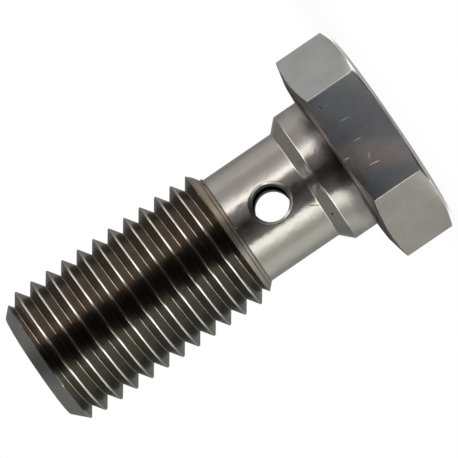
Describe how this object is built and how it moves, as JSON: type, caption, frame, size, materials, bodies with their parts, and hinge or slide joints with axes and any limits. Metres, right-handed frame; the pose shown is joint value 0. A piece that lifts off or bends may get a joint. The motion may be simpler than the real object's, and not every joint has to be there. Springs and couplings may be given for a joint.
{
  "type": "banjo bolt",
  "caption": "Hexagon-headed banjo bolt: a collar and a slim waist with a cross hole under the head, a fine thread, and a bore up the middle from the tip.",
  "frame": {"origin": "centre of the bearing face under the head, where the collar starts", "axes": "+Z along the bolt's axis towards the tip; the cross hole lies along Y; two flats of the head face +Y and -Y"},
  "size_m": [0.0158, 0.0136, 0.0285],
  "materials": {
    "turned_steel": "bright turned steel, dull in the thread's flanks"
  },
  "bodies": {
    "root": {"banjo_bolt": "turned_steel"}
  },
  "joints": []
}
